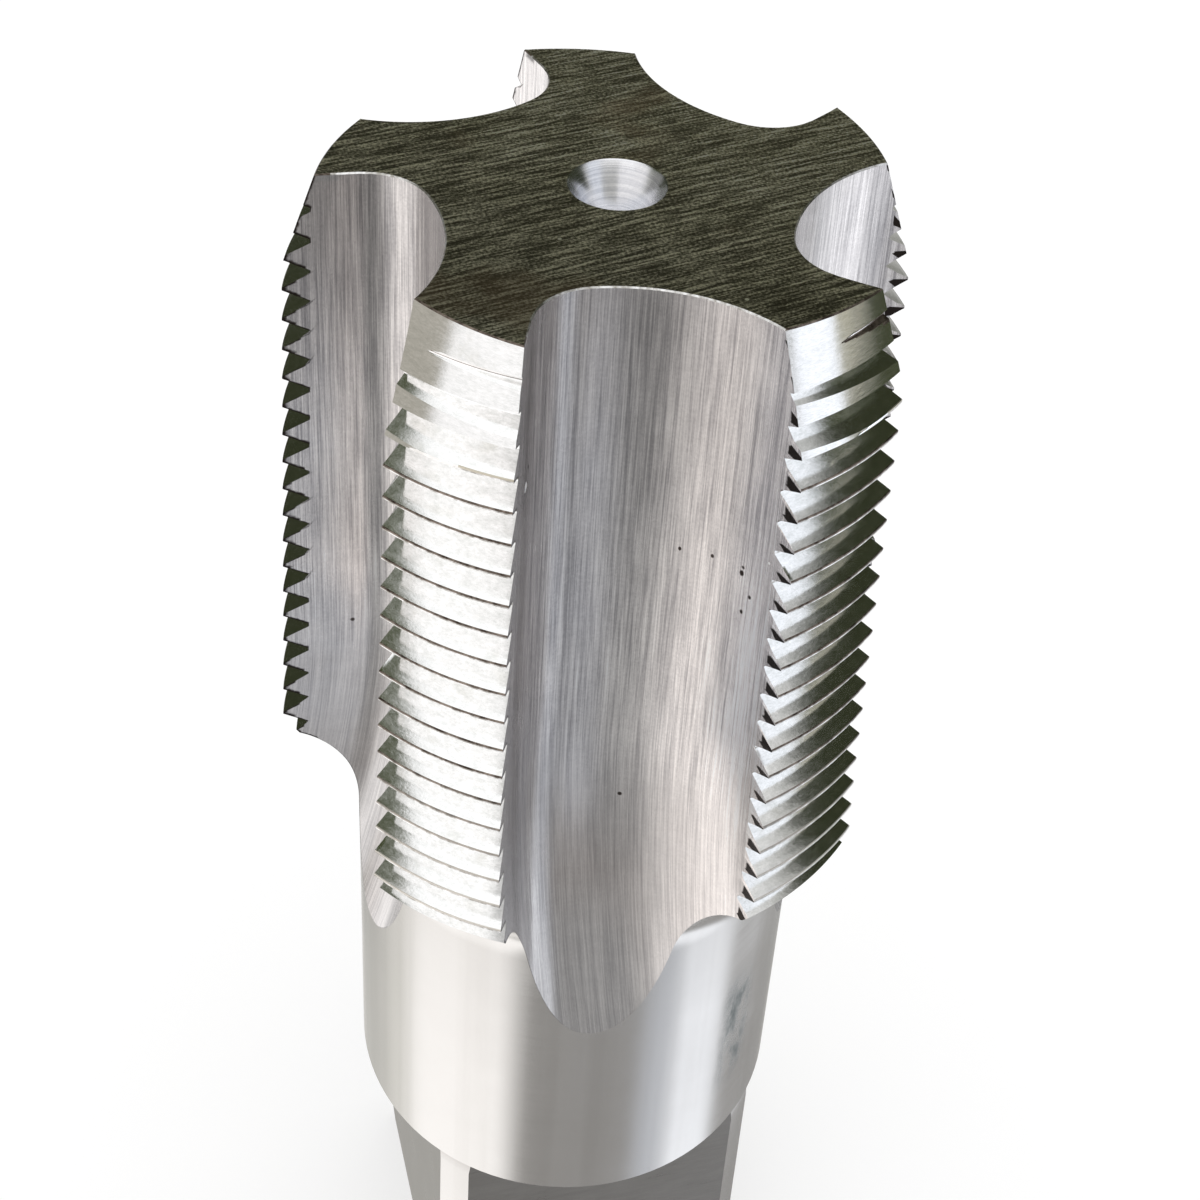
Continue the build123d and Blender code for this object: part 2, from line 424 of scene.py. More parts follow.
class Shell:
    """Gathers triangles from patches and welds them where their corners meet."""

    def __init__(self):
        self.points = []
        self.triangles = []
        self.finishes = []
        self.grains = []
        self.count = 0

    def add(self, points, triangles, finish, grain=0.0):
        """Adds triangles; grain is where their points lie across and along the tool's lines, and how
        much painted shade they take.
        """
        triangles = np.asarray(triangles, int).reshape(-1, 3)
        self.points.append(np.asarray(points, float).reshape(-1, 3))
        self.grains.append(np.broadcast_to(grain, (len(self.points[-1]), 3)))
        self.triangles.append(triangles + self.count)
        self.finishes.append(np.broadcast_to(finish, len(triangles)))
        self.count += len(self.points[-1])

    def grid(self, points, finish, closed=False, marks=None, grain=0.0):
        """A patch of rows and columns of points, closed round if asked."""
        rows, columns = points.shape[:2]
        index = np.arange(rows * columns).reshape(rows, columns)
        if closed:
            index = np.concatenate([index, index[:, :1]], axis=1)
        a, b = index[:-1, :-1].ravel(), index[1:, :-1].ravel()
        c, d = index[1:, 1:].ravel(), index[:-1, 1:].ravel()
        flat = points.reshape(-1, 3)
        first = norm(flat[a] - flat[c], axis=1)
        second = norm(flat[b] - flat[d], axis=1)
        if marks is not None:
            # A diagonal between equal marks counts as much shorter, so it becomes an edge
            mark = marks.ravel()
            first = first - 9.0 * ((mark[a] == mark[c]) & (mark[a] > 0))
            second = second - 9.0 * ((mark[b] == mark[d]) & (mark[b] > 0))
        pick = (first <= second)[:, None]
        one = np.where(pick, np.stack([a, b, c], 1), np.stack([a, b, d], 1))
        two = np.where(pick, np.stack([a, c, d], 1), np.stack([b, c, d], 1))
        self.add(flat, np.concatenate([one, two]), finish, grain)

    def zip(self, left, right, finish, grain=0.0, order=None):
        """Triangles between two lines of points, in the order of their depths if none is given."""
        i, j = 0, 0
        made = []
        left_order, right_order = order or (-left[:, 2], -right[:, 2])
        shift = len(left)
        while i < len(left) - 1 or j < len(right) - 1:
            if j == len(right) - 1 or (i < len(left) - 1 and left_order[i + 1] <= right_order[j + 1]):
                made.append((i, i + 1, shift + j))
                i += 1
            else:
                made.append((i, shift + j + 1, shift + j))
                j += 1
        self.add(np.concatenate([left, right]), made, finish, grain)

    def fill(self, loops, depth, finish, facing):
        """A flat face between loops of XY points at one depth."""
        flat = [[Vector((x, y, 0)) for x, y in loop] for loop in loops]
        triangles = np.array(tessellate_polygon(flat))
        points = at_depth(np.concatenate(loops), depth)
        a, b, c = (points[triangles[:, n]] for n in range(3))
        upward = np.cross(b - a, c - a)[:, 2]
        triangles[upward * facing < 0] = triangles[upward * facing < 0][:, ::-1]
        self.add(points, triangles, finish)

    def mesh(self, name, materials):
        """The welded Blender mesh, with edges sharper than a small angle kept crisp."""
        points = np.concatenate(self.points)
        triangles = np.concatenate(self.triangles)
        finishes = np.concatenate(self.finishes)
        cells = np.round(points / weld).astype(int)
        _, first, index = np.unique(cells, axis=0, return_index=True, return_inverse=True)
        triangles = index.ravel()[triangles]
        a, b, c = triangles.T
        kept = (a != b) & (b != c) & (c != a)
        mesh = bpy.data.meshes.new(name)
        mesh.from_pydata((points[first] * MM).tolist(), [], triangles[kept].tolist())
        for material in materials:
            mesh.materials.append(material)
        mesh.polygons.foreach_set("material_index", finishes[kept].astype(np.int32))
        mesh.polygons.foreach_set("use_smooth", np.ones(kept.sum(), bool))
        mesh.set_sharp_from_angle(angle=radians(crease_angle))
        grain = np.concatenate(self.grains)[np.concatenate(self.triangles)[kept].ravel()]
        lines = mesh.uv_layers.new(name="grain").uv
        lines.foreach_set("vector", grain[:, :2].ravel().astype(np.float32))
        shade = mesh.attributes.new("shade", "FLOAT", "CORNER")
        shade.data.foreach_set("value", grain[:, 2].astype(np.float32))
        normals = shank_normals(points[first], triangles[kept], finishes[kept])
        mesh.normals_split_custom_set(normals)
        mesh.validate()
        mesh.update()
        return mesh


def shank_normals(points, triangles, finishes):
    """Normals that make the round shank shine evenly; zero leaves a corner's normal as it is."""
    corners = points[triangles.ravel()]
    radius = norm(corners[:, :2], axis=1)
    depth = overall_length - corners[:, 2]
    straight = (depth > fillet_foot + tolerance) & (depth < square_depth + tolerance)
    straight &= np.abs(radius - shank_radius) < tolerance
    flat = corners * [1, 1, 0] / np.maximum(radius, 1)[:, None]
    used = straight & np.repeat(finishes == SHANK, 3)
    return np.where(used[:, None], flat, 0.0).tolist()


def placed(radius, angle, depth):
    """XYZ points from radius, angle in degrees and depth."""
    radius, angle, depth = np.broadcast_arrays(radius, angle, depth)
    height = overall_length - depth
    return np.concatenate([turn(angle) * radius[..., None], height[..., None]], axis=-1)


def at_depth(loop, depth):
    """XYZ points from a loop of XY points."""
    return np.column_stack([loop, np.full(len(loop), overall_length - depth)])


def level_rows():
    """Depths of the level rows below the thread, close together where the flutes end."""
    shoulder = np.linspace(thread_rows_end, shoulder_rows_end, 14)[1:]
    runout = closing_depth - (closing_depth - shoulder_rows_end) * np.linspace(1, 0, 26)[1:] ** 2
    return np.concatenate([shoulder, runout, [(closing_depth + ring_depth) / 2, ring_depth]])


def land_points(edge, levels):
    """Points of one land, in rows along the thread, with marks on its creases."""
    shares = np.linspace(0, 1, land_columns)
    rows = Rows(edge - land_angle, edge + 1, levels)
    count = len(rows.start)
    heel = flute_sides(edge - step_angle, rows.depth, count)[1] + edge - step_angle
    rake = flute_sides(edge, rows.depth, count)[0] + edge
    angle = heel[:, None] + (rake - heel)[:, None] * shares
    depth, marks = snapped(angle, angle - edge, rows.depth(angle))
    heel = flute_sides(edge - step_angle, lambda a: depth[:, :1] + 0 * a, count)[1] + edge - step_angle
    rake = flute_sides(edge, lambda a: depth[:, -1:] + 0 * a, count)[0] + edge
    angle[:, 0], angle[:, -1] = heel, rake
    radius = body_radius(angle, angle - edge, depth)
    share = (rows.start / pitch - thread_start_angle / 360) % 1
    return placed(radius, angle, depth), depth, marks, np.where(rows.fall > 0, share, 0)


def land_finish(depth, share, edge):
    """Kinds of surface on a land: painted shade on the crest with a bright burr under it, and painted
    shade on the floor of the first groove.
    """
    depth = depth[:-1, :-1]
    middle = ((share[:-1] + share[1:]) / 2)[:, None]
    shares = np.linspace(-land_angle, 0, depth.shape[1])
    chamfer = chamfer_radius(shares, depth)
    full = chamfer > small_radius + taper * depth + crest_margin
    half = 0.5 * crest_width / pitch
    burr_start = 0.5 + half - burr_width / pitch
    # Painted shade on the crest, and a bright burr below it
    shaded_crest = full & (middle > 0.5 - half - crest_shade / pitch) & (middle < burr_start)
    bright = full & (middle > burr_start) & (middle < 0.5 + half)
    from_root = np.abs(middle - np.round(middle)) * pitch
    floor = shaded_groove_half_width_right if edge > right_land_angle else shaded_groove_half_width
    # Painted shade over the floor of the first groove
    dark = (depth < first_groove_end) & (from_root < floor)
    dark &= thread_radius(shares + edge, shares, depth) < chamfer
    finish = np.where(shaded_crest | dark, PAINTED_SHADE, np.where(bright, BURR, THREAD))
    return np.where(depth < shoulder_foot - tolerance, finish, SHANK)


def body(shell):
    """Lands and flutes, from the broken edge of the end face down to a plain ring."""
    levels = level_rows()
    edges = [first_edge_angle + land * step_angle for land in range(flute_count)]
    lands, shares = [], []
    for edge in edges:
        points, depth, marks, share = land_points(edge, levels)
        finish = land_finish(depth, share, edge).ravel()
        shell.grid(points, np.concatenate([finish, finish]), marks=marks)
        lands.append(points)
        shares.append(share)
    rim = []
    for flute, edge in enumerate(edges):
        behind = (flute + 1) % flute_count
        # The heel edge gets painted shade just below each crest
        shade = (shares[behind] > 0.5) & (shares[behind] < 0.75)
        heel_line = np.column_stack([lands[behind][:, 0], shade])
        grid = flute_patch(shell, edge, lands[flute][:, -1], heel_line, levels)
        # The end face's broken edge gets painted shade along the lands and the burr finish along the
        # flutes
        for points, finish in ((lands[flute][0], PAINTED_SHADE), (grid[0], BURR)):
            rim.append(np.column_stack([points[:, :2], np.full(len(points), finish)]))
    return np.concatenate(rim), np.concatenate([land[-1, :-1] for land in lands])


def flute_shares():
    """How the flute's columns are spread, closest in the tight corner."""
    spans = ((0, 0.14, 4), (0.14, 0.42, 13), (0.42, 1, 22))
    return np.unique(np.concatenate([np.linspace(*span) for span in spans]))


def flute_span(depth):
    """Outline distances just inside the two edges of a flute at each depth."""
    inner = small_radius + taper * depth - thread_relief - thread_depth
    inner = np.minimum(inner, blank_radius(-land_angle, depth))
    # A margin inside the lands' edges, which shrinks over the last 8 mm above the foot
    inner = inner - 0.25 * np.clip((closing_depth - depth) / 8, 0, 1)
    samples = np.linspace(0, outline.length, 4000)
    spans = []
    for d, r in zip(depth, inner):
        over = norm(outline.cut(samples, d), axis=1) - r
        inside = np.nonzero(over < 0)[0]
        if not len(inside):
            inside = [np.argmin(over)]
        spans.append((samples[inside[0]], samples[inside[-1]]))
    return np.array(spans).T


def flute_patch(shell, edge, rake_line, heel_line, levels):
    """One flute: its own rows, zipped to the threaded edges of the lands beside it."""
    depth = np.concatenate([[edge_break, 0.6], np.linspace(1.5, thread_rows_end, 44), levels])
    depth = depth[depth < closing_depth - tiny]
    low, high = flute_span(depth)
    s = low[:, None] + (high - low)[:, None] * flute_shares()
    depths = np.broadcast_to(depth[:, None], s.shape)
    flat = outline.cut(s, depths)
    angle = np.degrees(np.arctan2(flat[..., 1], flat[..., 0])) + edge
    grid = placed(norm(flat, axis=-1), angle, depths)
    tip = placed(np.full(s.shape[1], shank_radius), closing_angle + edge, closing_depth)
    grid = np.concatenate([grid, tip[None]])
    grain = np.stack([s + edge, depths, 0 * s], axis=-1)
    grain = np.concatenate([grain, grain[-1:] + [0, closing_depth - depth[-1], 0]])
    shell.grid(grid, FLUTE, grain=grain.reshape(-1, 3))
    lowest = overall_length - closing_depth - tiny
    rake_line = rake_line[rake_line[:, 2] > lowest]
    heel_line = heel_line[heel_line[:, 2] > lowest]
    heel_line, shade = heel_line[:, :3], heel_line[:, 3]
    rake_grain = edge_grain(rake_line, grid[:, 0], grain[:, 0], -1, 0.5)
    heel_grain = edge_grain(heel_line, grid[:, -1], grain[:, -1], 1, shade)
    shell.zip(rake_line, grid[:, 0], FLUTE, np.concatenate([rake_grain, grain[:, 0]]))
    shell.zip(grid[:, -1], heel_line, FLUTE, np.concatenate([grain[:, -1], heel_grain]))
    return grid


def edge_grain(line, column, grain, side, shade):
    """Carries the flute's grain on to a land's edge, from the column of points beside it."""
    depth = overall_length - line[:, 2]
    known = overall_length - column[:, 2]
    beside = np.stack([np.interp(depth, known, column[:, axis]) for axis in range(3)], axis=1)
    across = np.interp(depth, known, grain[:, 0]) + side * norm(line - beside, axis=1)
    return np.stack([across, depth, np.broadcast_to(shade, len(line))], axis=1)


def inset(loop, distance):
    """A closed loop of XY points moved inwards."""
    ahead = np.roll(loop, -1, axis=0) - loop
    behind = loop - np.roll(loop, 1, axis=0)
    ahead /= norm(ahead, axis=1)[:, None]
    behind /= norm(behind, axis=1)[:, None]
    normal = np.stack([-(ahead + behind)[:, 1], (ahead + behind)[:, 0]], 1)
    normal /= norm(normal, axis=1)[:, None]
    return loop + normal * distance


def distinct(loop, gap):
    """A closed loop without points that repeat the one before."""
    kept = norm((loop - np.roll(loop, 1, axis=0))[:, :2], axis=1) > gap
    return loop[kept]


def centre_hole(shell, end_depth, down):
    """A centre hole turned into one end; down is 1 at the cutting end and -1 at the square."""
    slope = tan(radians(30))
    cone_depth = (centre_radius - pilot_radius) / slope
    point_depth = cone_depth + pilot_depth + pilot_radius * slope
    # The mouth and the foot of the cone are slightly rounded
    mouth_radius = centre_radius + 0.06
    profile = [
        (mouth_radius, 0),
        (centre_radius - 0.04, 0.08),
        (pilot_radius + 0.04, cone_depth - 0.07),
        (pilot_radius, cone_depth + 0.05),
        (pilot_radius, cone_depth + pilot_depth),
        (0, point_depth),
    ]
    angle = np.arange(hole_points) * 360 / hole_points
    rings = np.array([placed(radius, angle, end_depth + down * depth) for radius, depth in profile])
    shell.grid(rings if down > 0 else rings[:, ::-1], CENTRE_HOLE, closed=True)
    return turn(angle) * mouth_radius


def end_face(shell, rim):
    """The flat cutting end, with its edges just broken and the centre hole in it."""
    rim = distinct(distinct(rim, 1e-3), 2e-3)
    loop = rim[:, :2]
    finish = rim[:, 2].astype(int)
    inner = inset(loop, edge_break)
    rings = np.array([at_depth(inner, 0), at_depth(loop, edge_break)])
    shell.grid(rings, np.concatenate([finish, finish]), closed=True)
    hole = centre_hole(shell, 0, 1)
    shell.fill([inner, hole[::-1]], 0, END_FACE, 1)


def square_loop(radius):
    """Outline of the drive square where the bar has this radius."""
    half = degrees(acos(square_half_width / radius))
    loop = []
    for side in range(4):
        flat = np.linspace(-1, 1, flat_steps + 1)[:-1] * radius * sin(radians(half))
        across = turn(side * 90)
        along = turn(side * 90 + 90)
        loop.append(across * square_half_width + flat[:, None] * along)
        corner = np.linspace(half, 90 - half, corner_steps + 1)[:-1]
        loop.append(turn(side * 90 + corner) * radius)
    return np.concatenate(loop)


def shank(shell, ring):
    """Plain shank, the step down to the square, the square and its centred end."""
    half = degrees(acos(square_half_width / shank_radius))
    over_flat = np.linspace(-half, half, arc_steps + 1)[:-1]
    over_corner = np.linspace(half, 90 - half, corner_steps + 1)[:-1]
    quarter = np.concatenate([over_flat, over_corner])
    angles = np.concatenate([side * 90 + quarter for side in range(4)])
    ring_angles = np.degrees(np.arctan2(ring[:, 1], ring[:, 0]))
    joint_angles = np.sort((angles + 180) % 360 - 180)
    ring_round(shell, np.sort(ring_angles), joint_angles)
    depths = (joint_depth, 70, 75, square_depth - edge_break)
    points = [placed(shank_radius, angles, depth) for depth in depths]
    points.append(placed(shank_radius - edge_break, angles, square_depth))
    shell.grid(np.array(points), SHANK, closed=True)
    top_loop = square_loop(shank_radius - edge_break)
    circle_loop = turn(angles) * (shank_radius - edge_break)
    for side in range(4):
        first = side * (arc_steps + corner_steps)
        arc = circle_loop[first : first + arc_steps + 1]
        first = side * (flat_steps + corner_steps)
        chord = top_loop[first : first + flat_steps + 1]
        shell.fill([np.concatenate([arc, chord[::-1][1:-1]])], square_depth, SHANK, -1)
    end = overall_length
    rows = []
    for depth, radius in (
        (square_depth, shank_radius - edge_break),
        (square_depth + 1, shank_radius),
        (end - shank_end_chamfer, shank_radius),
        (end, shank_radius - shank_end_chamfer),
    ):
        rows.append(at_depth(square_loop(radius), depth))
    place = np.arange(len(rows[0])) % (flat_steps + corner_steps)
    sides = np.where(place < flat_steps, SQUARE, SHANK)
    shell.grid(np.array(rows), np.tile(sides, 2 * (len(rows) - 1)), closed=True)
    hole = centre_hole(shell, end, -1)
    shell.fill([square_loop(shank_radius - shank_end_chamfer), hole[::-1]], end, SQUARE, -1)


def ring_round(shell, upper_angles, lower_angles):
    """Joins two rings of the shank whose points lie at different angles."""
    upper_angles, lower_angles = (np.append(a, a[0] + 360) for a in (upper_angles, lower_angles))
    upper = placed(shank_radius, upper_angles, ring_depth)
    lower = placed(shank_radius, lower_angles, joint_depth)
    shell.zip(lower, upper, SHANK, order=(lower_angles, upper_angles))


class Nodes:
    """Short ways to add shader nodes to one node tree."""

    def __init__(self, tree):
        self.tree = tree
        tree.nodes.clear()

    def feed(self, socket, value):
        if isinstance(value, bpy.types.NodeSocket):
            self.tree.links.new(value, socket)
        elif value is not None:
            socket.default_value = value

    def node(self, kind, *inputs, **settings):
        node = self.tree.nodes.new("ShaderNode" + kind)
        for name, value in settings.items():
            setattr(node, name, value)
        for socket, value in zip(node.inputs, inputs):
            self.feed(socket, value)
        return node

    def math(self, operation, *values):
        return self.node("Math", *values, operation=operation).outputs[0]

    def vector(self, operation, *values):
        made = self.node("VectorMath", *values, operation=operation)
        return made.outputs[1 if operation in ("DOT_PRODUCT", "LENGTH") else 0]

    def split(self, vector):
        return self.node("SeparateXYZ", vector).outputs

    def ease(self, value, start, end, low=0.0, high=1.0):
        """A value eased from low at start to high at end."""
        made = self.node("MapRange", value, start, end, low, high, interpolation_type="SMOOTHSTEP")
        return made.outputs[0]

    def product(self, *values):
        """All the values multiplied together."""
        return reduce(lambda first, second: self.math("MULTIPLY", first, second), values)

    def between(self, factor, first, second):
        """The first value where the factor is 0, and the second where it is 1."""
        return self.math("MULTIPLY_ADD", factor, self.math("SUBTRACT", second, first), first)

    def reach(self, vector, side):
        """How far a vector reaches towards a side, given as an angle."""
        return self.vector("DOT_PRODUCT", vector, (*turn(side).tolist(), 0.0))

    def blend(self, factor, first, second, mode="MIX"):
        made = self.node("Mix", factor, data_type="RGBA", blend_type=mode)
        self.feed(made.inputs[6], first)
        self.feed(made.inputs[7], second)
        return made.outputs[2]

    def noise(self, vector, scale, detail=3.0, roughness=0.6):
        return self.node("TexNoise", vector, None, scale, detail, roughness).outputs[0]

    def stretched(self, vector, scale, turned=0.0):
        """Coordinates turned about Z by an angle and then scaled along each axis."""
        made = self.node("Mapping", vector, None, (0.0, 0.0, radians(-turned)))
        return self.vector("MULTIPLY", made.outputs[0], scale)


def rgb(red, green, blue):
    """A shader colour from the sRGB values that a picture shows."""
    values = np.array([red, green, blue]) / 255
    linear = np.where(values <= 0.04045, values / 12.92, ((values + 0.055) / 1.055) ** 2.4)
    return (*linear.tolist(), 1.0)


def grey(level):
    return (level, level, level, 1.0)


def spots(n, place, spacing, size, share):
    """Small scattered spots: their spacing and size in millimetres, and the share that shows."""
    made = n.node("TexVoronoi", place, None, 1 / (spacing * MM))
    reach = size / spacing
    near = n.ease(made.outputs["Distance"], reach * 1.25, reach * 0.75)
    lot = n.node("SeparateColor", made.outputs["Color"]).outputs[0]
    chosen = n.ease(lot, 1 - share, 1 - share + 0.01)
    return n.product(near, chosen)


def with_nodes(made):
    made.use_nodes = True
    return made, Nodes(made.node_tree)


def steel(
    name, tones, lines, roughness, bump, spread=None, marks=None,
    contrast=1.0, uneven=0.2, grit=0.25, skew=1.0,
):
    """A worked steel surface: a dark and a light tone in fine lines from the tool, patches and marks.

    Contrast, uneven and grit weigh the lines, wide patches and specks, and a skew above 1 leaves
    more of the surface dark. Bump is in millimetres.
    """
    material, n = with_nodes(bpy.data.materials.new(name))
    place = n.node("TexCoord").outputs["Object"]
    coarse = n.noise(lines(n, place, 1.0), 1.0, 4.0, 0.65)
    fine = n.noise(lines(n, place, 2.9), 1.0, 2.0, 0.6)
    streaks = n.math("ADD", n.product(coarse, 0.6), n.product(fine, 0.4))
    clouds = n.noise(place, 180.0, 3.0, 0.55)
    specks = n.noise(place, 5200.0, 2.0, 0.6)
    tone = n.math("MULTIPLY_ADD", n.math("SUBTRACT", streaks, 0.5), 3.0 * contrast, 0.5)
    tone = n.math("ADD", tone, n.math("MULTIPLY_ADD", clouds, 2 * uneven, -uneven))
    tone = n.math("ADD", tone, n.math("MULTIPLY_ADD", specks, 2 * grit, -grit))
    tone = n.math("MINIMUM", n.math("MAXIMUM", tone, 0.0), 1.0)
    colour = n.blend(n.math("POWER", tone, skew), *tones)
    rough = n.math("MULTIPLY_ADD", n.math("ADD", clouds, streaks), 0.14, roughness - 0.14)
    if marks:
        colour, rough = marks(n, place, colour, rough)
    shader = n.node("BsdfPrincipled")
    n.feed(shader.inputs["Base Color"], colour)
    n.feed(shader.inputs["Roughness"], rough)
    shader.inputs["Metallic"].default_value = 1.0
    relief = n.node("Bump")
    n.feed(relief.inputs["Height"], n.math("ADD", streaks, n.product(specks, 0.25)))
    relief.inputs["Distance"].default_value = bump * MM
    n.feed(shader.inputs["Normal"], relief.outputs[0])
    if spread:
        shader.inputs["Anisotropic"].default_value = 0.5
        n.feed(shader.inputs["Tangent"], spread(n))
    n.feed(n.node("OutputMaterial").inputs[0], shader.outputs[0])
    return material


def line_maker(scale, turned=0.0):
    """Lines made by stretching noise: features for each metre along the three axes."""
    return lambda n, place, finer: n.stretched(place, tuple(finer * v for v in scale), turned)


def flute_lines(n, place, finer):
    """Lines that follow the grinding wheel down the flute, also where it runs out."""
    grain = n.node("UVMap", uv_map="grain").outputs[0]
    return n.vector("MULTIPLY", grain, (finer * 3.7, finer * 0.06, 1.0))


def across_grain(n):
    """The tool's lines run down the surface, so reflections blur sideways."""
    return n.vector("CROSS_PRODUCT", n.node("NewGeometry").outputs["Normal"], (0.0, 0.0, 1.0))


def across_brush(n):
    """The tool's lines run straight over the end face, so reflections blur square to them."""
    return n.node("CombineXYZ", *turn(brush_angle + 90).tolist(), 0.0).outputs[0]


def end_stains_and_painted_sheen(n, place, colour, rough):
    """Brown tints and a few bright grains on the end face, with painted reflection that makes it
    lighter towards the back.
    """
    tint = n.ease(n.noise(place, 130.0, 2.0, 0.5), 0.56, 0.70, 0.0, 0.40)
    colour = n.blend(tint, colour, rgb(128, 108, 92))
    # Painted reflection: the colour is scaled lighter towards the back
    painted_light_gain = n.ease(n.reach(place, painted_sheen_side), -14 * MM, 12 * MM, 1.03, 1.52)
    colour = n.vector("SCALE", colour, None, None, painted_light_gain)
    colour = n.blend(spots(n, place, 4.0, 0.13, 0.30), colour, rgb(255, 255, 250))
    return n.blend(spots(n, place, 1.3, 0.06, 0.25), colour, rgb(225, 222, 205)), rough


def thread_marks(n, place, colour, rough):
    """Faint stains, small dark pits and bright nicks on the thread."""
    stain = n.ease(n.noise(place, 420.0, 3.0, 0.6), 0.58, 0.72, 0.0, 0.16)
    colour = n.blend(stain, colour, rgb(172, 170, 150))
    scratched = n.stretched(place, (1.0, 0.18, 0.5), 35.0)
    colour = n.blend(spots(n, scratched, 1.6, 0.05, 0.22), colour, rgb(92, 84, 74))
    colour = n.blend(spots(n, place, 2.3, 0.11, 0.14), colour, grey(1.0))
    return colour, rough


def painted_shade_marks(n, place, colour, rough):
    """The painted shade on the crests is paler on the first turns below the nose, and again towards the
    shank.
    """
    height = n.split(place)[2]
    above = n.ease(height, 95.6 * MM, 96.6 * MM, 0.0, 0.9)
    below = n.ease(height, 101.5 * MM, 100.5 * MM)
    colour = n.blend(n.product(above, below), colour, rgb(214, 208, 192))
    near_shank = n.ease(height, 74.0 * MM, 60.0 * MM, 0.0, 0.85)
    return n.blend(near_shank, colour, rgb(228, 224, 216)), rough


def flute_flaws_and_painted_light(n, place, colour, rough):
    """Flutes have painted light that makes them lighter towards the shank and the heel, painted shade
    along their edges, chatter ripples, dark pits and chips.
    """
    across, depth, _ = n.split(n.node("UVMap", uv_map="grain").outputs[0])
    turns = n.math("MULTIPLY_ADD", across, 1 / step_angle, -first_edge_angle / step_angle)
    flute = n.math("FLOOR", turns)
    s = n.product(n.math("FRACT", turns), step_angle)
    rippled = n.node("CombineXYZ", n.product(across, 0.35), depth, 0.0).outputs[0]
    on_left = n.product(n.math("COMPARE", flute, left_flute, 0.5), n.ease(s, 13.0, 9.0))
    left_painted_light = n.product(n.ease(depth, 0.0, 24.0, 0.66, 0.97), n.ease(depth, 27.0, 33.0, 1.0, 1.30))
    # Painted light: the tone is scaled darker near the nose and lighter towards the shank and the heel,
    # with chatter ripples in it
    painted_light_gain = n.product(
        n.between(n.ease(s, 11.0, 16.0), 1.02, n.ease(depth, 6.0, 32.0, 0.87, 1.18)),
        n.ease(s, 22.5, 27.0, 1.0, 1.34),
        n.ease(depth, 36.0, 42.0, 1.0, 0.88),
        n.math("MULTIPLY_ADD", n.noise(rippled, 1.1, 1.0), 0.12, 0.94),
        n.between(on_left, 1.0, left_painted_light),
    )
    colour = n.vector("SCALE", colour, None, None, painted_light_gain)
    even = n.vector("SCALE", rgb(205, 203, 202)[:3], None, None, painted_light_gain)
    colour = n.blend(n.ease(depth, 30.0, 46.0, 0.0, 0.45), colour, even)
    # A faint painted warm reflection tint over the flute's bottom
    colour = n.blend(n.ease(s, 17.0, 23.0, 0.0, 0.35), colour, rgb(255, 250, 246), "MULTIPLY")
    colour = n.blend(spots(n, place, 5.0, 0.16, 0.30), colour, rgb(70, 62, 58))
    here = n.node("CombineXYZ", s, depth, flute).outputs[0]
    for spot, size, bright in flaws:
        stretch = (1.5, 1.3, 9.0) if bright else (1.0, 0.7, 9.0)
        away = n.vector("MULTIPLY", n.vector("SUBTRACT", here, spot), stretch)
        shape = n.ease(n.vector("LENGTH", away), size * 1.15, size * 0.8)
        colour = n.blend(shape, colour, grey(1.0) if bright else rgb(58, 50, 46))
        rough = n.math("ADD", rough, n.product(shape, 0.7)) if bright else rough
    ragged = n.math("MULTIPLY_ADD", n.noise(here, 2.5, 2.0), 0.10, -0.05)
    shade = n.math("ADD", n.node("Attribute", attribute_name="shade").outputs["Fac"], ragged)
    # Painted shade, nearly black: below each crest on the heel edge, and a thin line along the rake
    # edge
    return n.blend(n.ease(shade, 0.40, 0.47), colour, rgb(46, 40, 36)), rough


def shank_marks(n, place, colour, rough):
    """A dark smudge where the shank was handled, and faint rubs."""
    x, y, z = n.split(place)
    angle = n.math("DEGREES", n.math("ARCTAN2", y, x))
    aside = n.math("ABSOLUTE", n.math("SUBTRACT", angle, smudge_angle))
    above = n.math("ABSOLUTE", n.math("SUBTRACT", z, smudge_height * MM))
    streaked = n.vector("MULTIPLY", place, (1.0, 1.0, 0.35))
    ragged = n.ease(n.noise(streaked, 520.0, 4.0, 0.7), 0.34, 0.68)
    dirt = n.product(n.ease(aside, 8.0, 2.0), n.ease(above, 8.0 * MM, 3.0 * MM), ragged)
    bands = n.noise(n.stretched(place, (520.0, 520.0, 12.0)), 1.0, 2.0, 0.5)
    colour = n.blend(n.ease(bands, 0.42, 0.66, 0.0, 0.20), colour, rgb(190, 187, 182))
    colour = n.blend(dirt, colour, rgb(110, 118, 117))
    return colour, n.math("MULTIPLY_ADD", dirt, 0.2, rough)


